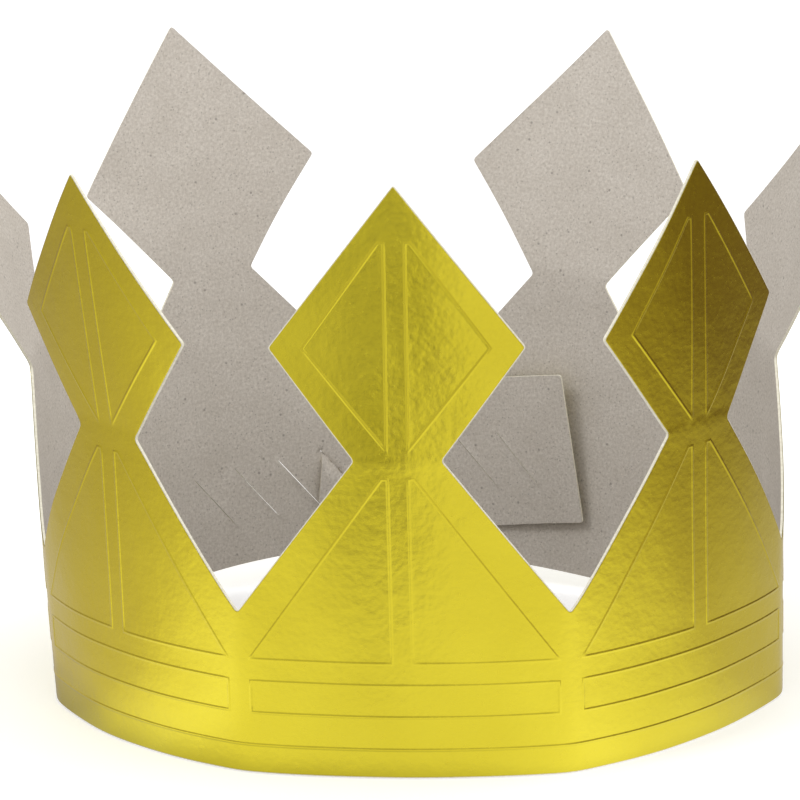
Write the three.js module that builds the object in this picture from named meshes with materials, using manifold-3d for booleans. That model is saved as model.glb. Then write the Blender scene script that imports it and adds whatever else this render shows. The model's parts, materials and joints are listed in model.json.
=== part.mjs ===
// A one-piece card crown: a strip of greyboard faced outside with gold foil, bent into a ring.
// Seven diamond points stand on narrow necks above a plain band. The two ends of the strip
// lap at the back, where a hooked tongue passes through one of a row of slanted slits.
// The card bends everywhere, so it is divided into rigid regions at its creases and necks.
//
// Units are millimetres and degrees. +Z is up, the front point faces -Y, and the origin is
// the middle of the crown's outer bounds, at the height of its lower edge.
//
// Strip coordinates: s runs along the strip from the middle of the front point, positive to
// the right, t is the height above the strip's lower edge, and depth is measured outwards
// from the middle of the card.

import * as THREE from 'three';
import { mergeVertices } from 'three/addons/utils/BufferGeometryUtils.js';
import Module from 'manifold-3d';

const wasm = await Module();
wasm.setup();

// The strip
const PITCH = 82;
const POINTS = 7;
const BAND_HEIGHT = 41;
const NECK_HEIGHT = 80.5;
const NECK_WIDTH = 21.5;
const CORNER_HEIGHT = 108;
const POINT_WIDTH = 63;
const TOTAL_HEIGHT = 148;
const CORNER_RADIUS = 1.2;

// The card: greyboard, a film of adhesive, and the foil facing
const BOARD = 0.6;
const ADHESIVE = 0.05;
const FOIL = 0.15;
const CARD = BOARD + ADHESIVE + FOIL;

// The ring: each region's even bend, the sharper bend at the crease before it, the tilt of
// its point, and how far the band's top leans outwards at that crease
const REGIONS = [
  { name: 'left_back', bend: 57.4, crease: 0, tilt: 6.4, lean: 0 },
  { name: 'left_side', bend: 30.5, crease: 11.8, tilt: 20.6, lean: 5.1 },
  { name: 'left_front', bend: 39.5, crease: 14.4, tilt: 7.3, lean: 2 },
  { name: 'front', bend: 27.2, crease: 13.7, tilt: -5.6, lean: 0 },
  { name: 'right_front', bend: 37.4, crease: 22.3, tilt: 0.6, lean: 0 },
  { name: 'right_side', bend: 40.3, crease: 20.7, tilt: 16.2, lean: 0.9 },
  { name: 'right_back', bend: 38.1, crease: 6.7, tilt: 13.8, lean: 2.8 },
];
const CREASE_SPAN = 10;
const RISE_START = 112;
const RISE_LEFT = 0.00042;
const RISE_RIGHT = 0.0003;
const DROOP = 0.0006;

// The lapped ends, measured along the strip from the middle of the last point on that side
const LEFT_SPLIT = 45.6;
const LEFT_END = 94;
const RIGHT_SPLIT = PITCH / 2;
const RIGHT_END = 66.3;
const LAP = 1.2;
const LAP_FROM = -12;
const LAP_TO = 14;
const STAND_OFF = 4.2;
const FOOT_STAND_OFF = 0.9;

// Slanted slits, from the last point on the left to the left end, and the tongue hooked
// through one of them
const SLITS = 8;
const SLITS_BEFORE_SPLIT = 5;
const SLIT_FIRST = -15.7;
const SLIT_PITCH = 12.4;
const SLIT_RUN = 11;
const SLIT_TOP = 27;
const SLIT_BOTTOM = 10.5;
const SLIT_WIDTH = 0.6;
const SLIT_CUT_DEPTH = 6;
const HOOK_START = 51.2;
const HOOK_BOTTOM = 10.4;
const HOOK_TOP = 23;
const HOOK_STEP = 0.01;
const TONGUE_START = 53;
const TONGUE_CLEARANCE = 0.4;

// Room left for the bending line at each crease and each neck
const CREASE_GAP = 0.6;
const NECK_GAP = 0.6;

const PLAN_STEP = 0.5;
const COLUMN_WIDTH = 7;

const PERIMETER = PITCH * POINTS;
const LAST_POINT = PITCH * (POINTS - 1) / 2;
const RADIANS = Math.PI / 180;

const clamp01 = (x) => Math.min(1, Math.max(0, x));
const smooth = (x) => clamp01(x) ** 2 * (3 - 2 * clamp01(x));

// ---- The ring's plan line -------------------------------------------------------------

// Total turn of the strip from its left seam to s
function turn(s) {
  let degrees = 0;
  REGIONS.forEach((region, i) => {
    const start = (i - POINTS / 2) * PITCH;
    degrees += region.bend * clamp01((s - start) / PITCH);
    degrees += region.crease * smooth((s - start) / CREASE_SPAN + 0.5);
  });
  return degrees * RADIANS;
}

// Plan points along one turn of the strip, closed exactly and centred on the origin
function tracePlan() {
  const steps = PERIMETER / PLAN_STEP;
  const points = [new THREE.Vector2(0, 0)];
  for (let i = 0; i < steps; i += 1) {
    const heading = turn((i + 0.5) * PLAN_STEP - PERIMETER / 2) - turn(0);
    const step = new THREE.Vector2(Math.cos(heading), Math.sin(heading)).multiplyScalar(PLAN_STEP);
    points.push(points[i].clone().add(step));
  }
  const miss = points[steps].clone();
  points.forEach((point, i) => point.addScaledVector(miss, -i / steps));
  points.pop();
  const centre = new THREE.Vector2();
  points.forEach((point) => centre.addScaledVector(point, 1 / steps));
  points.forEach((point) => point.sub(centre));
  return points;
}

const plan = tracePlan();

// Distance along the ring at s, from -PERIMETER / 2 to PERIMETER / 2
function wrapped(s) {
  return THREE.MathUtils.euclideanModulo(s + PERIMETER / 2, PERIMETER) - PERIMETER / 2;
}

// Point and outward direction of the plan line at s
function planAt(s) {
  const position = (wrapped(s) + PERIMETER / 2) / PLAN_STEP;
  const index = Math.floor(position);
  const a = plan[index % plan.length];
  const b = plan[(index + 1) % plan.length];
  const point = a.clone().lerp(b, position - index);
  const heading = turn(wrapped(s)) - turn(0);
  const outward = new THREE.Vector3(Math.sin(heading), -Math.cos(heading), 0);
  return { point: new THREE.Vector3(point.x, point.y, 0), outward };
}

// ---- From strip coordinates to the bent strip -----------------------------------------

// How far the wall leans outwards at s and height t
function lean(s, t) {
  const position = (wrapped(s) + PERIMETER / 2) / PITCH;
  const index = Math.min(Math.floor(position), POINTS - 1);
  const next = REGIONS[(index + 1) % POINTS].lean;
  return THREE.MathUtils.lerp(REGIONS[index].lean, next, position - index) * t / BAND_HEIGHT;
}

// The straight strip climbs towards the back of the slightly flared ring, and levels off
// again where its left end runs on past the seam
function rise(s) {
  const past = Math.max(0, Math.abs(s) - RISE_START);
  const rate = s < 0 ? RISE_LEFT : RISE_RIGHT;
  const over = Math.max(0, -s - PERIMETER / 2);
  return {
    height: rate * past ** 2 - DROOP * over ** 2,
    slope: 2 * (rate * past * Math.sign(s) + DROOP * over),
  };
}

// The left end passes inside the right end, and its free edge stands off the wall
function inset(s, t) {
  const past = -s - LAST_POINT;
  const lap = LAP * smooth((past - LAP_FROM) / (LAP_TO - LAP_FROM));
  const lift = smooth((past - LEFT_SPLIT) / (LEFT_END - LEFT_SPLIT));
  return lap + lift * THREE.MathUtils.lerp(FOOT_STAND_OFF, STAND_OFF, t / BAND_HEIGHT);
}

function place(s, t, depth) {
  const { height, slope } = rise(s);
  const { point, outward } = planAt(s - slope * t);
  const position = point.addScaledVector(outward, depth - inset(s, t) + lean(s, t));
  position.z = height + t / Math.hypot(1, slope);
  return position;
}

// ---- Solids ---------------------------------------------------------------------------

// Closed solid through a row of four-cornered rings: inner foot, outer foot, outer top, inner top.
// Inner and outer faces split along the same diagonals, so facing layers stay parallel.
function loft(rings) {
  const positions = rings.flatMap((ring) => ring.flatMap((corner) => corner.toArray()));
  const index = [];
  const quad = (a, b, c, d) => index.push(a, b, c, a, c, d);
  for (let i = 0; i + 1 < rings.length; i += 1) {
    const near = 4 * i;
    const far = near + 4;
    quad(near, far, far + 1, near + 1);
    quad(near + 1, far + 1, far + 2, near + 2);
    quad(near + 2, far + 2, far + 3, near + 3);
    quad(far + 3, far, near, near + 3);
  }
  const last = 4 * (rings.length - 1);
  quad(0, 1, 2, 3);
  quad(last + 3, last + 2, last + 1, last);
  const geometry = new THREE.BufferGeometry();
  geometry.setAttribute('position', new THREE.Float32BufferAttribute(positions, 3));
  geometry.setIndex(index);
  geometry.computeVertexNormals();
  return geometry;
}

// Evenly spaced stations from start to end that also stop at each given break
function stations(start, end, breaks) {
  const stops = [start, ...breaks.filter((x) => x > start && x < end), end];
  stops.sort((a, b) => a - b);
  const list = [start];
  for (let i = 1; i < stops.length; i += 1) {
    const parts = Math.ceil((stops[i] - stops[i - 1]) / COLUMN_WIDTH);
    for (let k = 1; k <= parts; k += 1) {
      list.push(THREE.MathUtils.lerp(stops[i - 1], stops[i], k / parts));
    }
  }
  return list;
}

// A bent sheet between two heights over the given stations. A layer is [inner, outer] depth.
function sheet(places, bottomAt, topAt, layer) {
  return loft(places.map((s) => [
    place(s, bottomAt(s), layer[0]),
    place(s, bottomAt(s), layer[1]),
    place(s, topAt(s), layer[1]),
    place(s, topAt(s), layer[0]),
  ]));
}

function toManifold(geometry) {
  const bare = new THREE.BufferGeometry();
  bare.setAttribute('position', geometry.getAttribute('position'));
  bare.setIndex(geometry.getIndex());
  const merged = mergeVertices(bare, 1e-5);
  const vertProperties = new Float32Array(merged.getAttribute('position').array);
  const triVerts = new Uint32Array(merged.getIndex().array);
  return new wasm.Manifold(new wasm.Mesh({ numProp: 3, vertProperties, triVerts }));
}

function fromManifold(solid) {
  const mesh = solid.getMesh();
  const geometry = new THREE.BufferGeometry();
  geometry.setAttribute('position', new THREE.BufferAttribute(mesh.vertProperties, 3));
  geometry.setIndex(new THREE.BufferAttribute(mesh.triVerts, 1));
  geometry.computeVertexNormals();
  return geometry;
}

// One slanted slit, as the thin bar that cuts it
function slitBar(number) {
  const upper = LAST_POINT + SLIT_FIRST + number * SLIT_PITCH;
  const from = place(-upper, SLIT_TOP, 0);
  const to = place(-upper - SLIT_RUN, SLIT_BOTTOM, 0);
  const length = from.distanceTo(to);
  const bar = new THREE.BoxGeometry(length, SLIT_WIDTH, SLIT_CUT_DEPTH);
  const along = to.clone().sub(from).normalize();
  const { outward } = planAt(-upper - SLIT_RUN / 2);
  const across = outward.clone().cross(along).normalize();
  const through = along.clone().cross(across);
  bar.applyMatrix4(new THREE.Matrix4().makeBasis(along, across, through));
  bar.translate(...from.add(to).multiplyScalar(0.5).toArray());
  return bar;
}

// Cuts the slits numbered from first up to, but not including, last
function cutSlits(geometry, first, last) {
  let solid = toManifold(geometry);
  for (let number = first; number < last; number += 1) {
    solid = solid.subtract(toManifold(slitBar(number)));
  }
  return fromManifold(solid);
}

// ---- Materials ------------------------------------------------------------------------

const LAYERS = {
  board: [-CARD / 2, -CARD / 2 + BOARD],
  foil: [CARD / 2 - FOIL, CARD / 2],
};

function cardMaterial(layer) {
  if (layer === 'foil') {
    return new THREE.MeshStandardMaterial({ color: 0xd3c232, metalness: 1, roughness: 0.28 });
  }
  return new THREE.MeshStandardMaterial({ color: 0xb9b1a6, metalness: 0, roughness: 0.92 });
}

const crown = new THREE.Group();

// Adds one region as two meshes, its greyboard and its foil
function addRegion(name, parent, shapeLayer) {
  for (const layer of Object.keys(LAYERS)) {
    const mesh = new THREE.Mesh(shapeLayer(LAYERS[layer]), cardMaterial(layer));
    mesh.name = `${name}_${layer}`;
    parent.add(mesh);
  }
}

// ---- The strip's regions --------------------------------------------------------------

const middleOf = (i) => (i - (POINTS - 1) / 2) * PITCH;

// Height of a region's top edge: level at the neck, then sloping to the notches
function shoulder(x) {
  const notch = PITCH / 2;
  const share = clamp01((notch - Math.abs(x)) / (notch - NECK_WIDTH / 2));
  return Math.min(BAND_HEIGHT + (NECK_HEIGHT - BAND_HEIGHT) * share, NECK_HEIGHT - NECK_GAP / 2);
}

function addBand(region, i) {
  const middle = middleOf(i);
  const isFirst = i === 0;
  const start = isFirst ? -LAST_POINT - LEFT_SPLIT : middle - PITCH / 2;
  const gap = CREASE_GAP / 2;
  const breaks = [-PITCH / 2, -NECK_WIDTH / 2, NECK_WIDTH / 2].map((x) => middle + x);
  const places = stations(start + gap, middle + PITCH / 2 - gap, breaks);
  addRegion(`${region.name}_band`, crown, (layer) => {
    const body = sheet(places, () => 0, (s) => shoulder(s - middle), layer);
    return isFirst ? cutSlits(body, 0, SLITS_BEFORE_SPLIT) : body;
  });
}

// Flat outline of a diamond point, with the neck's middle as its origin
function pointOutline() {
  const neck = NECK_WIDTH / 2;
  const half = POINT_WIDTH / 2;
  const corner = CORNER_HEIGHT - NECK_HEIGHT;
  const corners = [[half, corner], [0, TOTAL_HEIGHT - NECK_HEIGHT], [-half, corner]];
  const foot = NECK_GAP / 2;
  const shape = new THREE.Shape();
  shape.moveTo(-neck, foot);
  shape.lineTo(neck, foot);
  corners.forEach(([x, y], k) => {
    const before = new THREE.Vector2(...(k === 0 ? [neck, 0] : corners[k - 1]));
    const after = new THREE.Vector2(...(k === 2 ? [-neck, 0] : corners[k + 1]));
    const at = new THREE.Vector2(x, y);
    const inTo = before.sub(at).setLength(CORNER_RADIUS).add(at);
    const outOf = after.sub(at).setLength(CORNER_RADIUS).add(at);
    shape.lineTo(inTo.x, inTo.y);
    shape.quadraticCurveTo(x, y, outOf.x, outOf.y);
  });
  return shape;
}

// Direction along the strip at s and height t, following its climb and its lean
function stripDirection(s, t) {
  return place(s + 1, t, 0).sub(place(s - 1, t, 0)).normalize();
}

// A flat diamond point that leans outwards from its neck by the region's tilt
function addPoint(region, i) {
  const middle = middleOf(i);
  const along = stripDirection(middle, NECK_HEIGHT);
  const outward = along.clone().cross(new THREE.Vector3(0, 0, 1)).normalize();
  const up = outward.clone().cross(along);
  up.applyAxisAngle(along, region.tilt * RADIANS);
  outward.applyAxisAngle(along, region.tilt * RADIANS);
  const point = new THREE.Group();
  point.quaternion.setFromRotationMatrix(
    new THREE.Matrix4().makeBasis(along, up, outward),
  );
  point.position.copy(place(middle, NECK_HEIGHT, 0));
  addRegion(`${region.name}_point`, point, ([inner, outer]) => {
    const options = { depth: outer - inner, bevelEnabled: false, curveSegments: 3 };
    return new THREE.ExtrudeGeometry(pointOutline(), options).translate(0, 0, inner);
  });
  crown.add(point);
}

// The plain left end, inside, with the rest of the slits
function addLeftEnd() {
  const places = stations(-LAST_POINT - LEFT_END, -LAST_POINT - LEFT_SPLIT - CREASE_GAP / 2, []);
  addRegion('left_end', crown, (layer) => (
    cutSlits(sheet(places, () => 0, () => BAND_HEIGHT, layer), SLITS_BEFORE_SPLIT, SLITS)
  ));
}

// The part of the right end that stays outside: its lower corner is cut to a hook
function addRightEnd() {
  const start = LAST_POINT + RIGHT_SPLIT + CREASE_GAP / 2;
  const hook = LAST_POINT + HOOK_START;
  const end = LAST_POINT + RIGHT_END;
  const bottomAt = (s) => {
    if (s < hook) return 0;
    return THREE.MathUtils.mapLinear(s, hook, end, HOOK_BOTTOM, HOOK_TOP + TONGUE_CLEARANCE);
  };
  const places = stations(start, end, [hook - HOOK_STEP, hook]);
  addRegion('right_end', crown, (layer) => sheet(places, bottomAt, () => BAND_HEIGHT, layer));
}

// The tip of the hook, tucked through a slit so that it shows inside the ring
function addTongue() {
  const start = LAST_POINT + TONGUE_START;
  const end = LAST_POINT + RIGHT_END;
  const depth = LAP + CARD + TONGUE_CLEARANCE;
  const topAt = (s) => (
    THREE.MathUtils.mapLinear(s, start - TONGUE_CLEARANCE, end, HOOK_BOTTOM, HOOK_TOP)
  );
  addRegion('tongue', crown, ([inner, outer]) => (
    sheet(stations(start, end, []), () => HOOK_BOTTOM, topAt, [inner - depth, outer - depth])
  ));
}

REGIONS.forEach(addBand);
REGIONS.forEach(addPoint);
addLeftEnd();
addRightEnd();
addTongue();

// ---- Origin ---------------------------------------------------------------------------

const middle = new THREE.Box3().setFromObject(crown, true).getCenter(new THREE.Vector3());
middle.z = 0;
crown.children.forEach((child) => child.position.sub(middle));

// ---- Bending lines, as a point and a direction each -----------------------------------

function creaseLine(s) {
  const foot = place(s, 0, 0);
  const along = place(s, BAND_HEIGHT, 0).sub(foot).normalize();
  return { at: foot.sub(middle).toArray(), along: along.toArray() };
}

function neckLine(s) {
  const at = place(s, NECK_HEIGHT, 0).sub(middle);
  return { at: at.toArray(), along: stripDirection(s, NECK_HEIGHT).toArray() };
}

const hinges = {
  left_end: creaseLine(-LAST_POINT - LEFT_SPLIT),
  right_end: creaseLine(LAST_POINT + RIGHT_SPLIT),
};
REGIONS.forEach((region, i) => {
  if (i > 0) hinges[`${region.name}_before`] = creaseLine(middleOf(i) - PITCH / 2);
  hinges[`${region.name}_neck`] = neckLine(middleOf(i));
});
crown.userData.hinges = hinges;

export default crown;
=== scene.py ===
"""A one-piece card crown: greyboard faced outside with embossed gold foil, bent into a ring.

The blank is laid out flat in strip coordinates, in millimetres: s along the strip from the
middle of the front point, t up from its lower edge, depth outwards from the middle of the
card. It is cut into triangles there, with its slits and embossed lines, and then bent into
the same ring as the CAD frame. Each sheet spans one joint of the frame, where the card is bent.
"""

import json

import bpy
import numpy as np
from mathutils import Matrix, Vector
from mathutils.geometry import delaunay_2d_cdt


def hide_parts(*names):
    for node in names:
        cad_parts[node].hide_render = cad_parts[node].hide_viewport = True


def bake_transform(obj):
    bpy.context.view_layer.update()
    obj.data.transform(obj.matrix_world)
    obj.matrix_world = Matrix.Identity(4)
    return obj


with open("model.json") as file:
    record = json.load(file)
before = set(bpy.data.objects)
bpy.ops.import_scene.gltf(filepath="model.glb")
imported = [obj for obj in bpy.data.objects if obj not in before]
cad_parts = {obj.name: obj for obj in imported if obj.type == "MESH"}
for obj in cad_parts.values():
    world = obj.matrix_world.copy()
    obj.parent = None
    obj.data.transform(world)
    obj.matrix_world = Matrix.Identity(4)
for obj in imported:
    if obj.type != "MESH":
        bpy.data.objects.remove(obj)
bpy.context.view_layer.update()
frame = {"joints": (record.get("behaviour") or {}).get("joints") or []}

MM = 0.001

# ---- The blank --------------------------------------------------------------------------

PITCH = 82.0
BAND_HEIGHT = 41.0
NECK_HEIGHT = 80.5
CORNER_HEIGHT = 108.0
TOTAL_HEIGHT = 148.0
HALF_NECK = 10.75
HALF_POINT = 31.5
LEFT_END = 94.0
RIGHT_END = 66.3
HOOK_START = 51.2
HOOK_BOTTOM = 10.4
CORNER_RADIUS = 0.9

# Each region's even bend, the crease before it and the tilt of its point, in degrees, then
# how far the band's top leans outwards at that crease
REGIONS = (
    ("left_back", 57.4, 0.0, 6.4, 0.0),
    ("left_side", 30.5, 11.8, 20.6, 5.1),
    ("left_front", 39.5, 14.4, 7.3, 2.0),
    ("front", 27.2, 13.7, -5.6, 0.0),
    ("right_front", 37.4, 22.3, 0.6, 0.0),
    ("right_side", 40.3, 20.7, 16.2, 0.9),
    ("right_back", 38.1, 6.7, 13.8, 2.8),
)
LAST_INDEX = (len(REGIONS) - 1) // 2
MIDDLES = [index * PITCH for index in range(-LAST_INDEX, LAST_INDEX + 1)]
LAST_POINT = MIDDLES[-1]
PERIMETER = PITCH * len(REGIONS)
CREASE_SPAN = 10.0

# The climb of the straight strip towards the back, and the lap of its two ends
RISE_START = 112.0
RISE_LEFT = 0.00042
RISE_RIGHT = 0.0003
DROOP = 0.0006
LAP = 1.2
LAP_FROM = -12.0
LAP_TO = 14.0
LIFT_START = 45.6
STAND_OFF = 4.2
FOOT_STAND_OFF = 0.9

# The corner of the right end that passes through a slit: the line it bends along runs from
# the hook up to TUCK_TOP
TUCK_TOP = 23.2
TUCK_DEPTH = 3.3
TUCK_SPAN = 2.4
TUCK_FADE = 2.0

# Slits, numbered from the last point on the left towards the left end
SLIT_COUNT = 8
SLIT_FIRST = -15.7
SLIT_PITCH = 12.4
SLIT_RUN = 11.0
SLIT_TOP = 27.0
SLIT_BOTTOM = 10.5
SLIT_WIDTH = 0.12
OPEN_SLIT_WIDTH = 0.5
SLIT_TAPER = 2.0
TONGUE_SLIT = 3
SLIT_LIP = 0.2
TONGUE_LIP = 0.5
LIP_REACH = 0.6

# The card, as depths from its middle
FOIL_FRONT = 0.40
FOIL_BACK = 0.34
BOARD_FRONT = 0.20
BOARD_BACK = -0.40

# Embossed lines, the rolled cut edge of the foil, and the rim of board left bare round it
RIDGE_HEIGHT = 0.135
RIDGE_REACH = 0.55
EDGE_ROLL = 0.12
EDGE_REACH = 0.5
EDGE_ROWS = (0.5, 1)
RIDGE_ROWS = (-1, -0.66, -0.33, 0, 0.33, 0.66, 1)
RIM = 0.26
LINE_HEIGHT = 7.2
DIAMOND_MARKS = ((2.6, 133.8), (4.0, 133.8), (22.9, 108.0), (2.6, 83.0))
TRIANGLE_MARKS = ((2.5, 76.0), (4.0, 76.0), (38.0, 29.2), (2.5, 29.2))
BAR_MARKS = ((-38.0, 15.5), (38.0, 15.5), (38.0, 23.6), (-38.0, 23.6))

# The fold at each neck
FOLD_HEIGHT = 0.09
FOLD_REACH = 4.5
FOLD_DROP = 2.4
FOLD_OVERHANG = 8.0
FOLD_FADE = 6.0

# The unevenness of handled card: a slow wave, with a shorter ripple over it
WAVE_HEIGHT = 0.16
WAVE_ALONG = 9.7
WAVE_UP = 17.0
WAVE_DRIFT = 61.0
WAVE_START = 0.6
RIPPLE_HEIGHT = 0.07
RIPPLE_ALONG = 4.9
RIPPLE_UP = 12.0
RIPPLE_START = 1.3

# Heights above the neck between which a point turns to its tilt, and between which the
# ring's curve gives way to the point's own bow, with the share of the region's bend in it
BEND_FROM = -1.5
BEND_TO = 3.0
FLAT_FROM = 0.0
FLAT_TO = 30.0
BOW_LEFT = 0.85
TABLE_STEPS = 400
TABLE_SPARE = 2.0

# Where one sheet ends and the next begins, from the middle of each region, with the blank's
# height there, and how far below and above its neck a panel bends
SEAM = 16.0
SEAM_TOP = BAND_HEIGHT + (NECK_HEIGHT - BAND_HEIGHT) * (PITCH / 2 - SEAM) / (PITCH / 2 - HALF_NECK)
NECK_BLEND = 6.0

# The triangles: the longest edge along a line, the grid between the lines, how far it keeps
# from the outline and how much closer it comes to a ridge, and the smallest gap and doubled
# area kept
STEP = 2.0
GRID = 2.4
ROW_SHARE = 0.866
FIRST_ROW = 1.0
CLEAR = 0.9
RIDGE_SPARE = 0.2
SMALLEST_GAP = 1e-4
SMALLEST_AREA = 1e-7

# Steps along the plan line for each millimetre, and half the span that normals are taken over
PLAN_STEPS = 10
DIFFERENCE = 0.04


def smooth(x):
    """A smooth step from 0 to 1 as x goes from 0 to 1."""
    x = np.clip(x, 0, 1)
    return x * x * (3 - 2 * x)


# ---- The ring, placed on the frame's front neck ------------------------------------------

JOINTS = {joint["name"]: joint for joint in frame["joints"]}


def turn(s):
    """How far the strip has turned, in radians, between its left seam and s."""
    degrees = np.zeros_like(s)
    for middle, (_, bend, crease, *_) in zip(MIDDLES, REGIONS):
        start = middle - PITCH / 2
        degrees += bend * np.clip((s - start) / PITCH, 0, 1)
        degrees += crease * smooth((s - start) / CREASE_SPAN + 0.5)
    return np.radians(degrees)


def trace_plan():
    """Points of the plan line at even steps, closed exactly and placed on the front neck."""
    steps = round(PERIMETER * PLAN_STEPS)
    step = PERIMETER / steps
    heading = turn((np.arange(steps) + 0.5) * step - PERIMETER / 2) - turn(np.zeros(1))
    points = np.cumsum(np.c_[np.cos(heading), np.sin(heading)] * step, axis=0)
    points = np.vstack([[0, 0], points])
    points -= np.outer(np.arange(steps + 1) / steps, points[-1])
    front = np.array(JOINTS["front_neck_bend"]["pos_m"][:2]) / MM
    return points - points[steps // 2] + front, step


PLAN, PLAN_STEP = trace_plan()


def plan_at(s):
    """Plan points and headings at s."""
    position = np.mod(s + PERIMETER / 2, PERIMETER) / PLAN_STEP
    index = np.minimum(position.astype(int), len(PLAN) - 2)
    share = (position - index)[:, None]
    points = PLAN[index] * (1 - share) + PLAN[index + 1] * share
    return points, turn(position * PLAN_STEP - PERIMETER / 2) - turn(np.zeros(1))


def rise(s):
    """Height and slope of the lower edge, which levels off again past the seam on the left."""
    past = np.maximum(0, np.abs(s) - RISE_START)
    rate = np.where(s < 0, RISE_LEFT, RISE_RIGHT)
    over = np.maximum(0, -s - PERIMETER / 2)
    return rate * past**2 - DROOP * over**2, 2 * (rate * past * np.sign(s) + DROOP * over)


def inset(s, t):
    """How far the left end lies inside the ring's line, under the lap and at its free edge."""
    past = -s - LAST_POINT
    lap = LAP * smooth((past - LAP_FROM) / (LAP_TO - LAP_FROM))
    lift = smooth((past - LIFT_START) / (LEFT_END - LIFT_START))
    return lap + lift * (FOOT_STAND_OFF + (STAND_OFF - FOOT_STAND_OFF) * t / BAND_HEIGHT)


def lean(s, t):
    """How far the wall leans outwards. The lean fades where a point's own tilt sets in."""
    share = np.clip((t - NECK_HEIGHT - BEND_FROM) / (BEND_TO - BEND_FROM), 0, 1)
    fading = (BEND_TO - BEND_FROM) * (share - share**3 + share**4 / 2)
    height = np.minimum(t, NECK_HEIGHT + BEND_FROM) + fading
    leans = [region[-1] for region in REGIONS + REGIONS[:1]]
    crease = np.mod(s / PITCH + len(REGIONS) / 2, len(REGIONS))
    return np.interp(crease, range(len(leans)), leans) * height / BAND_HEIGHT


def wall(s, t, depth):
    """The bent band, carried on upwards without any point's tilt."""
    height, slope = rise(s)
    points, heading = plan_at(s - slope * t)
    outward = np.c_[np.sin(heading), -np.cos(heading)]
    plan = points + outward * (depth - inset(s, t) + lean(s, t))[:, None]
    return np.c_[plan, height + t / np.hypot(1, slope)]


def neck_axes(middle):
    """The neck's middle with its directions along, up and outward."""
    before, at, after = wall(middle + np.array([-1, 0, 1]), np.full(3, NECK_HEIGHT), np.zeros(3))
    along = (after - before) / np.linalg.norm(after - before)
    outward = np.cross(along, (0, 0, 1))
    outward /= np.linalg.norm(outward)
    return at, along, np.cross(outward, along), outward


def tilt_curve(tilt):
    """Tables of a point's height and offset along its middle line as it turns to its tilt."""
    v = np.linspace(BEND_FROM, TOTAL_HEIGHT - NECK_HEIGHT + TABLE_SPARE, TABLE_STEPS)
    angle = np.radians(tilt) * smooth((v - BEND_FROM) / (BEND_TO - BEND_FROM))
    step = v[1] - v[0]
    up = v[0] + np.r_[0, np.cumsum(np.cos(angle[:-1]) * step)]
    out = np.r_[0, np.cumsum(np.sin(angle[:-1]) * step)]
    return v, up, out, angle


def surface(s, t, depth):
    """Strip coordinates to places in the frame, in millimetres."""
    places = wall(s, t, depth)
    for middle, (_, bend, _, tilt, _) in zip(MIDDLES, REGIONS):
        pick = (np.abs(s - middle) < PITCH / 2) & (t > NECK_HEIGHT + BEND_FROM)
        if not pick.any():
            continue
        origin, along, up, outward = neck_axes(middle)
        local = (places[pick] - origin) @ np.array([along, up, outward]).T
        x = s[pick] - middle
        v = t[pick] - NECK_HEIGHT
        flat = smooth((v - FLAT_FROM) / (FLAT_TO - FLAT_FROM))
        bow = -BOW_LEFT * np.radians(bend) / PITCH * x**2 / 2
        across = local[:, 0] * (1 - flat) + x * flat
        off = local[:, 2] * (1 - flat) + (bow + depth[pick]) * flat
        table, table_up, table_out, table_angle = tilt_curve(tilt)
        angle = np.interp(v, table, table_angle)
        high = np.interp(v, table, table_up) - off * np.sin(angle)
        wide = np.interp(v, table, table_out) + off * np.cos(angle)
        places[pick] = origin + np.outer(across, along) + np.outer(high, up) + np.outer(wide, outward)
    return places


# ---- The blank's outline, slits and embossed lines ---------------------------------------


def rounded(corners, radius, parts=4):
    """A closed outline with each corner turned into a short curve."""
    corners = np.array(corners, float)
    points = []
    for before, at, after in zip(np.roll(corners, 1, 0), corners, np.roll(corners, -1, 0)):
        arrive = before - at
        leave = after - at
        reach = min(radius, np.linalg.norm(arrive) / 3, np.linalg.norm(leave) / 3)
        first = at + arrive / np.linalg.norm(arrive) * reach
        last = at + leave / np.linalg.norm(leave) * reach
        for k in range(parts + 1):
            share = k / parts
            points.append((1 - share) ** 2 * first + 2 * share * (1 - share) * at + share**2 * last)
    return np.array(points)


def blank_outline():
    """The die-cut outline of the whole strip, anticlockwise from its lower left corner."""
    right = LAST_POINT
    points = [
        (-right - LEFT_END, 0),
        (right + HOOK_START, 0),
        (right + HOOK_START, HOOK_BOTTOM),
        (right + RIGHT_END, HOOK_BOTTOM),
        (right + RIGHT_END, BAND_HEIGHT),
    ]
    for middle in reversed(MIDDLES):
        points += [
            (middle + PITCH / 2, BAND_HEIGHT),
            (middle + HALF_NECK, NECK_HEIGHT),
            (middle + HALF_POINT, CORNER_HEIGHT),
            (middle, TOTAL_HEIGHT),
            (middle - HALF_POINT, CORNER_HEIGHT),
            (middle - HALF_NECK, NECK_HEIGHT),
        ]
    points += [(-right - PITCH / 2, BAND_HEIGHT), (-right - LEFT_END, BAND_HEIGHT)]
    return rounded(points, CORNER_RADIUS)


def slit_line(number):
    """Upper and lower ends of a slit."""
    upper = -LAST_POINT - SLIT_FIRST - number * SLIT_PITCH
    return np.array([(upper, SLIT_TOP), (upper - SLIT_RUN, SLIT_BOTTOM)])


def slit_outline(number):
    """A slit as a narrow hole that tapers at both ends."""
    upper, lower = slit_line(number)
    direction = (lower - upper) / np.linalg.norm(lower - upper)
    width = OPEN_SLIT_WIDTH if number == TONGUE_SLIT else SLIT_WIDTH
    side = np.array([-direction[1], direction[0]]) * width / 2
    near, far = upper + direction * SLIT_TAPER, lower - direction * SLIT_TAPER
    return np.array([upper, near + side, far + side, lower, far - side, near - side])


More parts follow.
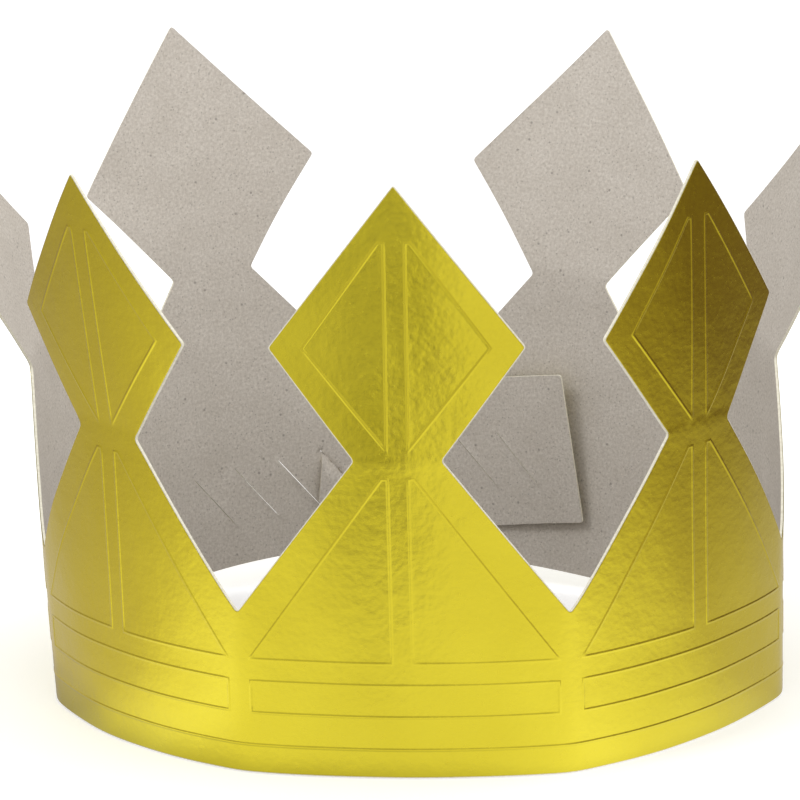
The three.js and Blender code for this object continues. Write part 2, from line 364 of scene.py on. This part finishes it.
def region_marks():
    """Closed embossed outlines of one region, about its middle."""
    marks = [BAR_MARKS]
    for half in (DIAMOND_MARKS, TRIANGLE_MARKS):
        marks += [half, [(-x, t) for x, t in half]]
    return [np.array(mark, float) for mark in marks]


OUTLINE = blank_outline()
SLITS = [slit_outline(number) for number in range(SLIT_COUNT)]
MARKS = region_marks()


def offset(outline, distance):
    """A closed outline moved sideways, with mitred corners."""
    edge = np.roll(outline, -1, 0) - outline
    normal = np.c_[edge[:, 1], -edge[:, 0]] / np.linalg.norm(edge, axis=1)[:, None]
    before = np.roll(normal, 1, 0)
    mitre = (normal + before) / (1 + (normal * before).sum(1))[:, None]
    return outline + mitre * distance


def divided(points, closed=True):
    """A line with extra points, so that no stretch of it is longer than STEP."""
    ends = np.roll(points, -1, 0) if closed else points[1:]
    line = []
    for start, end in zip(points, ends):
        parts = max(1, int(np.ceil(np.linalg.norm(end - start) / STEP)))
        line += [start + (end - start) * k / parts for k in range(parts)]
    if not closed:
        line.append(points[-1])
    return np.array(line)


def distance_to(points, outlines):
    """Distance from each point to the nearest of the closed outlines."""
    best = np.full(len(points), np.inf)
    for outline in outlines:
        for start, end in zip(outline, np.roll(outline, -1, 0)):
            span = end - start
            share = np.clip((points - start) @ span / (span @ span), 0, 1)
            gap = points - start - share[:, None] * span
            best = np.minimum(best, np.hypot(gap[:, 0], gap[:, 1]))
    return best


def nearest_middle(s):
    """The middle of the region that s is in; the two ends count with the last regions."""
    return np.clip(np.round(s / PITCH), -LAST_INDEX, LAST_INDEX) * PITCH


def ridge_distance(s, t):
    """Distance to the nearest embossed line."""
    local = np.c_[s - nearest_middle(s), t]
    return np.minimum(distance_to(local, MARKS), np.abs(t - LINE_HEIGHT))


# ---- Relief ------------------------------------------------------------------------------


def waviness(s, t):
    """The slow unevenness of card that has been bent and handled."""
    wave = np.sin(s / WAVE_ALONG + WAVE_START) * np.sin(t / WAVE_UP + s / WAVE_DRIFT)
    ripple = np.sin(s / RIPPLE_ALONG + t / RIPPLE_UP + RIPPLE_START)
    return WAVE_HEIGHT * wave + RIPPLE_HEIGHT * ripple


def slit_relief(s, t):
    """The lips of each slit stand a little into the ring; the tongue's slit opens outwards."""
    relief = np.zeros_like(s)
    for number in range(SLIT_COUNT):
        upper, lower = slit_line(number)
        span = lower - upper
        length = np.linalg.norm(span)
        from_top = np.c_[s, t] - upper
        along = from_top @ span / length**2
        across = (from_top[:, 0] * span[1] - from_top[:, 1] * span[0]) / length
        share = np.sin(np.pi * np.clip(along, 0, 1)) ** 0.5 * np.exp(-((across / LIP_REACH) ** 2))
        relief += (TONGUE_LIP if number == TONGUE_SLIT else -SLIT_LIP) * share
    return relief


def neck_fold(s, t):
    """Each band curls a little outwards under the fold at its point's neck."""
    beside = smooth((HALF_NECK + FOLD_OVERHANG - np.abs(s - nearest_middle(s))) / FOLD_FADE)
    under = smooth((t - NECK_HEIGHT + FOLD_REACH) / FOLD_REACH)
    over = smooth((NECK_HEIGHT + FOLD_DROP - t) / FOLD_DROP)
    return FOLD_HEIGHT * beside * under * over


def tuck(s, t):
    """How far the right end drops inwards where its corner passes through a slit."""
    start = np.array([LAST_POINT + HOOK_START, HOOK_BOTTOM])
    end = np.array([LAST_POINT + RIGHT_END, TUCK_TOP])
    span = (end - start) / np.linalg.norm(end - start)
    past = (s - start[0]) * span[1] - (t - start[1]) * span[0]
    beyond = smooth(past / TUCK_SPAN + 0.5)
    return -TUCK_DEPTH * beyond * smooth((s - start[0]) / TUCK_FADE + 0.5)


def card_relief(s, t):
    """Relief of the whole card, foil and board together."""
    relief = waviness(s, t) + neck_fold(s, t)
    left = s < -LAST_POINT + PITCH / 2
    relief[left] += slit_relief(s[left], t[left])
    right = s > LAST_POINT + PITCH / 2
    relief[right] += tuck(s[right], t[right])
    return relief


def foil_relief(s, t):
    """Relief of the foil's face: the card's, its embossed lines and its rolled cut edge."""
    ridge = np.cos(np.pi / 2 * np.clip(ridge_distance(s, t) / RIDGE_REACH, 0, 1)) ** 2
    edge = 1 - np.clip(distance_to(np.c_[s, t], [OUTLINE]) / EDGE_REACH, 0, 1)
    return card_relief(s, t) + RIDGE_HEIGHT * ridge - EDGE_ROLL * edge**2


def skin(points, depth, relief, side):
    """Places and normals of one face of the card over flat points; side is 1 outside."""

    def at(s, t):
        return surface(s, t, depth + relief(s, t))

    s, t = points.T
    along = at(s + DIFFERENCE, t) - at(s - DIFFERENCE, t)
    up = at(s, t + DIFFERENCE) - at(s, t - DIFFERENCE)
    normals = np.cross(along, up)
    normals *= side / np.linalg.norm(normals, axis=1)[:, None]
    return at(s, t) * MM, normals


# ---- Triangles ---------------------------------------------------------------------------


def inside(points, outline):
    """Which points lie inside a closed outline."""
    crossings = np.zeros(len(points), int)
    s, t = points.T
    for (s0, t0), (s1, t1) in zip(outline, np.roll(outline, -1, 0)):
        if t0 != t1:
            spans = (t0 > t) != (t1 > t)
            crossings += spans & (s < s0 + (t - t0) * (s1 - s0) / (t1 - t0))
    return crossings % 2 == 1


def grid_points(clearance):
    """Staggered points over the blank, clear of its lines."""
    rows = np.arange(FIRST_ROW, TOTAL_HEIGHT, GRID * ROW_SHARE)
    columns = np.arange(-LAST_POINT - LEFT_END, LAST_POINT + RIGHT_END, GRID)
    s, t = np.meshgrid(columns, rows)
    s = s + GRID / 2 * (np.arange(len(rows)) % 2)[:, None]
    points = np.c_[s.ravel(), t.ravel()]
    points = points[inside(points, OUTLINE)]
    return points[clearance(points) > CLEAR]


def flat_mesh(with_marks):
    """Triangles of the flat blank. Those of the foil follow its embossed lines and edges."""
    outline = offset(OUTLINE, -RIM) if with_marks else OUTLINE
    lines = [(divided(outline), True)]
    lines += [(divided(slit), True) for slit in SLITS]
    for middle in MIDDLES:
        for s in (middle - SEAM, middle + SEAM):
            lines.append((divided(np.array([(s, 0.0), (s, SEAM_TOP)]), False), False))
    if with_marks:
        lines += [(divided(offset(outline, -EDGE_REACH * share)), True) for share in EDGE_ROWS]
        for share in RIDGE_ROWS:
            t = LINE_HEIGHT + share * RIDGE_REACH
            ends = np.array([(-LAST_POINT - LEFT_END, t), (LAST_POINT + HOOK_START, t)])
            lines.append((divided(ends, False), False))
            for middle in MIDDLES:
                for mark in MARKS:
                    lines.append((divided(offset(mark, share * RIDGE_REACH) + (middle, 0)), True))

    def clearance(points):
        gap = distance_to(points, [OUTLINE])
        if with_marks:
            gap = np.minimum(gap, ridge_distance(*points.T) - RIDGE_REACH + RIDGE_SPARE)
        return gap

    points = [grid_points(clearance)]
    edges = []
    count = len(points[0])
    for line, closed in lines:
        points.append(line)
        edges += [(count + k, count + k + 1) for k in range(len(line) - 1)]
        if closed:
            edges.append((count + len(line) - 1, count))
        count += len(line)
    flat = [Vector(point) for point in np.vstack(points)]
    vertices, _, faces, *_ = delaunay_2d_cdt(flat, edges, [], 0, SMALLEST_GAP)
    vertices = np.array([tuple(v) for v in vertices])
    faces = np.array(faces)
    centres = vertices[faces].mean(1)
    keep = inside(centres, outline)
    for slit in SLITS:
        keep &= ~inside(centres, slit)
    a, b, c = (vertices[faces[:, k]] for k in range(3))
    area = (b - a)[:, 0] * (c - a)[:, 1] - (b - a)[:, 1] * (c - a)[:, 0]
    faces = np.where((area < 0)[:, None], faces[:, ::-1], faces)
    keep &= np.abs(area) > SMALLEST_AREA
    return vertices, faces[keep], centres[keep]


def sheet_numbers(centres):
    """The sheet each triangle is in: odd numbers are panels, even ones lie between them."""
    s, t = centres.T
    index = np.clip(np.round(s / PITCH), -LAST_INDEX, LAST_INDEX)
    x = s - index * PITCH
    number = 2 * index + len(REGIONS)
    beside = (np.abs(x) > SEAM) & (t < NECK_HEIGHT)
    return (number + np.where(beside, np.sign(x), 0)).astype(int)


# ---- Solids ------------------------------------------------------------------------------


def sheet_object(name, flat, faces, layers, materials):
    """A closed sheet over flat triangles. Layers are (depth, relief) in front and behind."""
    used, packed = np.unique(faces, return_inverse=True)
    faces = packed.reshape(faces.shape)
    points = flat[used]
    count = len(points)
    front, front_normals = skin(points, *layers[0], 1)
    back, back_normals = skin(points, *layers[1], -1)
    edges = np.vstack([faces[:, [0, 1]], faces[:, [1, 2]], faces[:, [2, 0]]])
    keys = {tuple(edge) for edge in edges.tolist()}
    rim = np.array([edge for edge in edges.tolist() if (edge[1], edge[0]) not in keys])
    walls = np.c_[rim[:, 1], rim[:, 0], rim[:, 0] + count, rim[:, 1] + count]
    polygons = faces.tolist() + (faces[:, ::-1] + count).tolist() + walls.tolist()
    mesh = bpy.data.meshes.new(name)
    mesh.from_pydata(np.vstack([front, back]).tolist(), [], polygons)
    loops = np.empty(len(mesh.loops), int)
    mesh.loops.foreach_get("vertex_index", loops)
    place = mesh.uv_layers.new(name="strip")
    place.data.foreach_set("uv", (points[loops % count] * MM).ravel().astype(np.float32))
    normals = np.vstack([front_normals, back_normals])[loops]
    wall_normals = np.array([tuple(p.normal) for p in list(mesh.polygons)[2 * len(faces):]])
    normals[-walls.size:] = np.repeat(wall_normals, 4, axis=0)
    mesh.polygons.foreach_set("use_smooth", [True] * len(mesh.polygons))
    if len(materials) > 1:
        index = np.ones(len(mesh.polygons), int)
        index[len(faces):2 * len(faces)] = 0
        mesh.polygons.foreach_set("material_index", index)
    mesh.normals_split_custom_set(normals.tolist())
    for material in materials:
        mesh.materials.append(material)
    piece = bpy.data.objects.new(name, mesh)
    bpy.context.scene.collection.objects.link(piece)
    return piece


# ---- Materials ---------------------------------------------------------------------------

FOIL_DEEP = (0.71, 0.60, 0.02, 1)
FOIL_PALE = (0.76, 0.65, 0.025, 1)
BOARD_DEEP = (0.66, 0.61, 0.54, 1)
BOARD_PALE = (0.74, 0.69, 0.62, 1)
FIBRE_PALE = (0.71, 0.67, 0.61, 1)
FIBRE_DARK = (0.46, 0.41, 0.35, 1)
EDGE_DEEP = (0.74, 0.70, 0.56, 1)
EDGE_PALE = (0.90, 0.87, 0.73, 1)

# Three kinds of speck: how many to a millimetre, their size beside that spacing, their shade
SPECKS = ((0.22, 0.05, 0.22), (0.8, 0.1, 0.3), (0.35, 0.05, 0.78))
SPECK_STRENGTH = 0.6

# The middle stretch of a noise pattern, which otherwise keeps close to its mean
NOISE_LOW = 0.3
NOISE_HIGH = 0.7


class Nodes:
    """A short way to write the nodes of a material or a world."""

    def __init__(self, owner):
        owner.use_nodes = True
        self.tree = owner.node_tree
        self.shader = self.tree.nodes.get("Principled BSDF")

    def add(self, kind, inputs=None, **settings):
        node = self.tree.nodes.new("ShaderNode" + kind)
        for key, value in settings.items():
            setattr(node, key, value)
        for key, value in (inputs or {}).items():
            self.set(node.inputs[key], value)
        return node

    def set(self, socket, value):
        if isinstance(value, bpy.types.NodeSocket):
            self.tree.links.new(value, socket)
        else:
            socket.default_value = value

    def strip(self, stretch=(1, 1), angle=0.0):
        """Strip coordinates in millimetres, turned and stretched."""
        uv = self.add("UVMap", uv_map="strip").outputs["UV"]
        scale = (stretch[0] / MM, stretch[1] / MM, 1)
        turned = self.add("Mapping", {"Vector": uv, "Rotation": (0, 0, angle)})
        return self.add("Mapping", {"Vector": turned.outputs["Vector"], "Scale": scale}).outputs["Vector"]

    def noise(self, scale, vector=None, detail=2.0, rough=0.5, distortion=0.0):
        vector = vector or self.strip()
        inputs = {"Vector": vector, "Scale": scale, "Detail": detail, "Roughness": rough}
        inputs["Distortion"] = distortion
        return self.add("TexNoise", inputs).outputs["Fac"]

    def span(self, value, low, high, to_low=0.0, to_high=1.0):
        inputs = {"Value": value, "From Min": low, "From Max": high, "To Min": to_low, "To Max": to_high}
        return self.add("MapRange", inputs).outputs["Result"]

    def math(self, operation, a, b=0.0):
        return self.add("Math", {0: a, 1: b}, operation=operation).outputs[0]

    def mix(self, share, a, b):
        node = self.add("Mix", data_type="RGBA")
        self.set(node.inputs[0], share)
        self.set(node.inputs[6], a)
        self.set(node.inputs[7], b)
        return node.outputs[2]

    def bump(self, height, distance, strength, under=None):
        inputs = {"Height": height, "Distance": distance, "Strength": strength}
        if under is not None:
            inputs["Normal"] = under
        return self.add("Bump", inputs).outputs["Normal"]


def foil_material():
    """Lemon-gold metallised film with the fine orange peel of board showing through it."""
    material = bpy.data.materials.new("gold_foil")
    nodes = Nodes(material)
    tone = nodes.span(nodes.noise(scale=0.035, detail=1), NOISE_LOW, NOISE_HIGH)
    peel = nodes.noise(scale=0.8, detail=4, rough=0.6)
    dents = nodes.noise(scale=0.2, detail=2)
    roughness = nodes.span(peel, NOISE_LOW, NOISE_HIGH, to_low=0.2, to_high=0.28)
    normal = nodes.bump(peel, distance=0.08 * MM, strength=0.5)
    normal = nodes.bump(dents, distance=0.3 * MM, strength=0.5, under=normal)
    nodes.set(nodes.shader.inputs["Base Color"], nodes.mix(tone, FOIL_DEEP, FOIL_PALE))
    nodes.set(nodes.shader.inputs["Metallic"], 1.0)
    nodes.set(nodes.shader.inputs["Roughness"], roughness)
    nodes.set(nodes.shader.inputs["Coat Weight"], 0.5)
    nodes.set(nodes.shader.inputs["Coat Roughness"], 0.22)
    nodes.set(nodes.shader.inputs["Normal"], normal)
    return material


def board_material():
    """Recycled greyboard: warm grey, clouded, with short fibres and scattered dark specks."""
    material = bpy.data.materials.new("greyboard")
    nodes = Nodes(material)
    clouds = nodes.span(nodes.noise(scale=0.09, detail=4), NOISE_LOW, NOISE_HIGH)
    grain = nodes.noise(scale=1.3, detail=5, rough=0.7)
    upright = nodes.strip(stretch=(0.8, 4.5), angle=0.35)
    level = nodes.strip(stretch=(4.5, 0.7), angle=-0.25)
    pale_fibres = nodes.noise(scale=1.0, vector=upright, detail=4, distortion=0.8)
    dark_fibres = nodes.noise(scale=1.0, vector=level, detail=4, distortion=0.8)
    colour = nodes.mix(clouds, BOARD_DEEP, BOARD_PALE)
    colour = nodes.mix(nodes.span(pale_fibres, 0.45, 0.75), colour, FIBRE_PALE)
    colour = nodes.mix(nodes.span(dark_fibres, 0.5, 0.75, to_high=0.55), colour, FIBRE_DARK)
    colour = nodes.mix(nodes.span(grain, 0.38, 0.66, to_high=0.7), colour, FIBRE_DARK)
    for scale, size, shade in SPECKS:
        cells = nodes.add("TexVoronoi", {"Vector": nodes.strip(), "Scale": scale, "Randomness": 1.0})
        speck = nodes.span(cells.outputs["Distance"], size, size * 2, SPECK_STRENGTH, 0)
        colour = nodes.mix(speck, colour, (shade, shade * 0.9, shade * 0.78, 1))
    nodes.set(nodes.shader.inputs["Base Color"], colour)
    nodes.set(nodes.shader.inputs["Roughness"], 0.92)
    nodes.set(nodes.shader.inputs["Specular IOR Level"], 0.2)
    nodes.set(nodes.shader.inputs["Normal"], nodes.bump(grain, distance=0.15 * MM, strength=0.7))
    return material


def edge_material():
    """The pale core of the board where the die has cut it."""
    material = bpy.data.materials.new("cut_edge")
    nodes = Nodes(material)
    fibres = nodes.span(nodes.noise(scale=1.4, detail=3), NOISE_LOW, NOISE_HIGH)
    nodes.set(nodes.shader.inputs["Base Color"], nodes.mix(fibres, EDGE_DEEP, EDGE_PALE))
    nodes.set(nodes.shader.inputs["Roughness"], 0.85)
    return material


# ---- The crown ---------------------------------------------------------------------------


def strip_point(s, t):
    """The place of one point of the strip in the frame, in metres."""
    return tuple(surface(np.array([s]), np.array([t]), np.zeros(1))[0] * MM)


def sheet_plan(number):
    """A sheet's name, the two bodies it bends between, where, and the CAD parts it stands for."""
    index = (number - 1) // 2
    if number % 2:
        name = REGIONS[index][0]
        low = strip_point(MIDDLES[index], NECK_HEIGHT - NECK_BLEND)
        high = strip_point(MIDDLES[index], NECK_HEIGHT + NECK_BLEND)
        parts = (f"{name}_band", f"{name}_point")
        return f"{name}_panel", (name, f"{name}_point"), (low, high), parts
    level = BAND_HEIGHT / 2
    if number == 0:
        far = LAST_POINT + 2 * LIFT_START - SEAM
        ends = (strip_point(-LAST_POINT - SEAM, level), strip_point(-far, level))
        return "left_end_strip", ("left_back", "left_end"), ends, ("left_end",)
    if number == 2 * len(REGIONS):
        ends = (strip_point(LAST_POINT + SEAM, level), strip_point(LAST_POINT + RIGHT_END, level))
        return "right_end_strip", ("right_back", "right_end"), ends, ("right_end", "tongue")
    a, b = REGIONS[number // 2 - 1][0], REGIONS[number // 2][0]
    middle = MIDDLES[number // 2 - 1]
    ends = (strip_point(middle + SEAM, level), strip_point(middle + PITCH - SEAM, level))
    return f"{a}_to_{b}", (a, b), ends, ()


def build_layer(layer, with_marks, layers, materials):
    """The foil or the board, as one sheet for each stretch that spans one joint."""
    flat, faces, centres = flat_mesh(with_marks)
    numbers = sheet_numbers(centres)
    for number in range(2 * len(REGIONS) + 1):
        name, bodies, (start, end), parts = sheet_plan(number)
        piece = sheet_object(f"{name}_{layer}", flat, faces[numbers == number], layers, materials)
        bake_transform(piece)
        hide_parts(*(f"{part}_{layer}" for part in parts))


def build_crown():
    foil_layers = ((FOIL_FRONT, foil_relief), (FOIL_BACK, foil_relief))
    board_layers = ((BOARD_FRONT, card_relief), (BOARD_BACK, card_relief))
    build_layer("foil", True, foil_layers, [foil_material()])
    build_layer("board", False, board_layers, [board_material(), edge_material()])


build_crown()


# ---- Floor, light and camera -------------------------------------------------------------

# What the foil reflects: a white sheet near the crown that darkens away from it. Stops are
# directions round the crown in degrees, 0 in front and 90 to the right, with their colour.
SHEET_NEAR = (
    (-180, (0.80, 0.77, 0.74)),
    (-140, (0.66, 0.61, 0.58)),
    (-82, (0.62, 0.56, 0.54)),
    (-64, (0.76, 0.71, 0.68)),
    (-52, (1.10, 1.07, 1.05)),
    (-38, (1.24, 1.23, 1.38)),
    (-26, (1.08, 1.06, 1.04)),
    (-6, (0.97, 0.95, 0.93)),
    (20, (1.02, 1.00, 0.98)),
    (40, (1.22, 1.21, 1.36)),
    (62, (1.00, 0.98, 0.95)),
    (80, (0.64, 0.59, 0.56)),
    (140, (0.60, 0.55, 0.52)),
    (180, (0.80, 0.77, 0.74)),
)
SHEET_FAR = (
    (-180, (0.55, 0.50, 0.48)),
    (-120, (0.34, 0.28, 0.26)),
    (-60, (0.56, 0.52, 0.50)),
    (-24, (0.76, 0.74, 0.74)),
    (-17, (0.68, 0.66, 0.66)),
    (-10, (0.50, 0.49, 0.50)),
    (-2.5, (0.46, 0.45, 0.46)),
    (1, (0.86, 0.84, 0.86)),
    (6, (0.98, 0.96, 0.98)),
    (24, (0.84, 0.81, 0.78)),
    (60, (0.40, 0.33, 0.30)),
    (95, (0.15, 0.10, 0.09)),
    (140, (0.15, 0.10, 0.09)),
    (180, (0.55, 0.50, 0.48)),
)
# Painted shade: the sheet is dark inside the crown, where the floor lies in the crown's own shade, so
# little light bounces from it onto the inside of the board
SHEET_INNER_PAINTED_SHADE = (0.15, 0.145, 0.14, 1)

# Distances from the middle of the crown, in metres: the painted shade inside the crown gives way to the
# sheet's near colour, and that to its far colour
PAINTED_SHADE_FADE = (0.07, 0.11)
SHEET_FADE = (0.16, 0.48)

# The dark reflection of the camera itself: its direction and half width as shares of a full
# turn, and the distances at which it sets in and ends
CAMERA_REFLECTION = 0.4903
REFLECTION_HALF = (0.005, 0.018)
REFLECTION_START = (0.25, 0.4)
REFLECTION_END = (1.8, 2.6)
REFLECTION_STRENGTH = 0.8
SHEET_DARK = (0.17, 0.16, 0.16, 1)

FLOOR_SIZE = 6.0
FLOOR_DROP = 0.3 * MM
FLOOR_COLOUR = (0.9, 0.9, 0.9, 1)
FLOOR_GLOW = 0.25

# The room above the sheet, its light from left to right, and the backdrop
CEILING = (0.6, 0.57, 0.55, 1)
CEILING_FADE = (0.05, 0.45)
FILL_LEFT = (0.58, 0.58, 0.58, 1)
FILL_RIGHT = (1.46, 1.46, 1.46, 1)
BACKDROP = (1.2, 1.2, 1.2, 1)

# The one lamp, in front on the left: its place and size in metres and its power in watts
KEY_PLACE = (-1.1, -0.9, 1.5)
KEY_SIZE = 0.5
KEY_POWER = 8


def direction(nodes, x, y):
    """The direction of x and y round the crown, from 0 to 1 with the front in the middle."""
    azimuth = nodes.math("ARCTAN2", x, nodes.math("MULTIPLY", y, -1.0))
    return nodes.span(azimuth, -np.pi, np.pi)


def sheet_colour(nodes, around, colours):
    """The colour of the stops at a direction round the crown."""
    ramp = nodes.add("ValToRGB", {"Fac": around})
    stops = ramp.color_ramp.elements
    while len(stops) < len(colours):
        stops.new(0.5)
    for k, (degrees, _) in enumerate(colours):
        stops[k].position = (degrees + 180) / 360
    for stop, (_, colour) in zip(stops, colours):
        stop.color = (*colour, 1)
    return ramp.outputs["Color"]


def reflected_sheet(nodes):
    """The sheet's colour, by direction round the crown and distance from its middle, with painted shade
    inside the crown.
    """
    place = nodes.add("NewGeometry").outputs["Position"]
    x, y, _ = nodes.add("SeparateXYZ", {0: place}).outputs
    squares = nodes.math("ADD", nodes.math("MULTIPLY", x, x), nodes.math("MULTIPLY", y, y))
    reach = nodes.math("SQRT", squares)
    around = direction(nodes, x, y)
    near = sheet_colour(nodes, around, SHEET_NEAR)
    far = sheet_colour(nodes, around, SHEET_FAR)
    colour = nodes.mix(nodes.span(reach, *SHEET_FADE), near, far)
    aside = nodes.math("ABSOLUTE", nodes.math("SUBTRACT", around, CAMERA_REFLECTION))
    started = nodes.span(reach, *REFLECTION_START)
    going = nodes.span(reach, *REFLECTION_END, to_low=1, to_high=0)
    within = nodes.span(aside, *REFLECTION_HALF, to_low=REFLECTION_STRENGTH, to_high=0)
    shade = nodes.math("MULTIPLY", within, nodes.math("MULTIPLY", started, going))
    colour = nodes.mix(shade, colour, SHEET_DARK)
    # Painted shade inside the crown, where the floor lies in shade
    return nodes.mix(nodes.span(reach, *PAINTED_SHADE_FADE), SHEET_INNER_PAINTED_SHADE, colour)


def build_floor():
    """A pale floor to the camera, and the sheet to everything else."""
    mesh = bpy.data.meshes.new("floor")
    corners = [(-FLOOR_SIZE, -FLOOR_SIZE), (FLOOR_SIZE, -FLOOR_SIZE)]
    corners += [(FLOOR_SIZE, FLOOR_SIZE), (-FLOOR_SIZE, FLOOR_SIZE)]
    mesh.from_pydata([(x, y, -FLOOR_DROP) for x, y in corners], [], [(0, 1, 2, 3)])
    floor = bpy.data.objects.new("floor", mesh)
    bpy.context.scene.collection.objects.link(floor)
    material = bpy.data.materials.new("floor")
    nodes = Nodes(material)
    nodes.set(nodes.shader.inputs["Base Color"], FLOOR_COLOUR)
    nodes.set(nodes.shader.inputs["Roughness"], 0.8)
    nodes.set(nodes.shader.inputs["Specular IOR Level"], 0.1)
    nodes.set(nodes.shader.inputs["Emission Color"], (1, 1, 1, 1))
    nodes.set(nodes.shader.inputs["Emission Strength"], FLOOR_GLOW)
    glow = nodes.add("Emission", {"Color": reflected_sheet(nodes)})
    seen = nodes.add("LightPath").outputs["Is Camera Ray"]
    both = nodes.add("MixShader", {0: seen, 1: glow.outputs[0], 2: nodes.shader.outputs[0]})
    output = nodes.tree.nodes["Material Output"]
    nodes.set(output.inputs["Surface"], both.outputs[0])
    mesh.materials.append(material)


def build_world():
    """The surroundings: what the foil reflects, the light that falls in, and the backdrop."""
    world = bpy.data.worlds.new("studio")
    bpy.context.scene.world = world
    nodes = Nodes(world)
    view = nodes.add("TexCoord").outputs["Generated"]
    x, y, z = nodes.add("SeparateXYZ", {0: view}).outputs
    horizon = sheet_colour(nodes, direction(nodes, x, y), SHEET_FAR)
    reflected = nodes.mix(nodes.span(z, *CEILING_FADE), horizon, CEILING)
    fill = nodes.mix(nodes.span(x, -1, 1), FILL_LEFT, FILL_RIGHT)
    path = nodes.add("LightPath")
    colour = nodes.mix(path.outputs["Is Glossy Ray"], fill, reflected)
    colour = nodes.mix(path.outputs["Is Camera Ray"], colour, BACKDROP)
    nodes.set(nodes.tree.nodes["Background"].inputs["Color"], colour)


def build_key():
    light = bpy.data.lights.new("key", "AREA")
    light.size = KEY_SIZE
    light.energy = KEY_POWER
    lamp = bpy.data.objects.new("key", light)
    lamp.location = KEY_PLACE
    lamp.rotation_euler = Vector(KEY_PLACE).to_track_quat("Z", "Y").to_euler()
    bpy.context.scene.collection.objects.link(lamp)


# The camera's distance in metres, its direction and roll in degrees, the point it aims at,
# across and up from the origin, and its lens in millimetres with the lens's shift
CAMERA_DISTANCE = 1.666
CAMERA_SIDE = 6.873
CAMERA_RISE = 14.491
CAMERA_ROLL = 1.52
CAMERA_AIM = (-0.00282, 0.06892)
CAMERA_LENS = 288.76
CAMERA_SHIFT = (0.03203, 0.00381)


def build_camera():
    side, high, roll = np.radians((CAMERA_SIDE, CAMERA_RISE, CAMERA_ROLL))
    forward = Vector((-np.sin(side) * np.cos(high), np.cos(side) * np.cos(high), -np.sin(high)))
    level = Vector((np.cos(side), np.sin(side), 0))
    upright = level.cross(forward)
    place = CAMERA_AIM[0] * level + CAMERA_AIM[1] * upright - CAMERA_DISTANCE * forward
    right = np.cos(roll) * level - np.sin(roll) * upright
    up = np.sin(roll) * level + np.cos(roll) * upright
    data = bpy.data.cameras.new("camera")
    data.lens = CAMERA_LENS
    data.shift_x, data.shift_y = CAMERA_SHIFT
    camera = bpy.data.objects.new("camera", data)
    axes = Matrix((right, up, -forward)).transposed().to_4x4()
    camera.matrix_world = Matrix.Translation(place) @ axes
    bpy.context.scene.collection.objects.link(camera)
    bpy.context.scene.camera = camera


build_floor()
build_world()
build_key()
build_camera()
bpy.context.scene.view_settings.view_transform = "Standard"
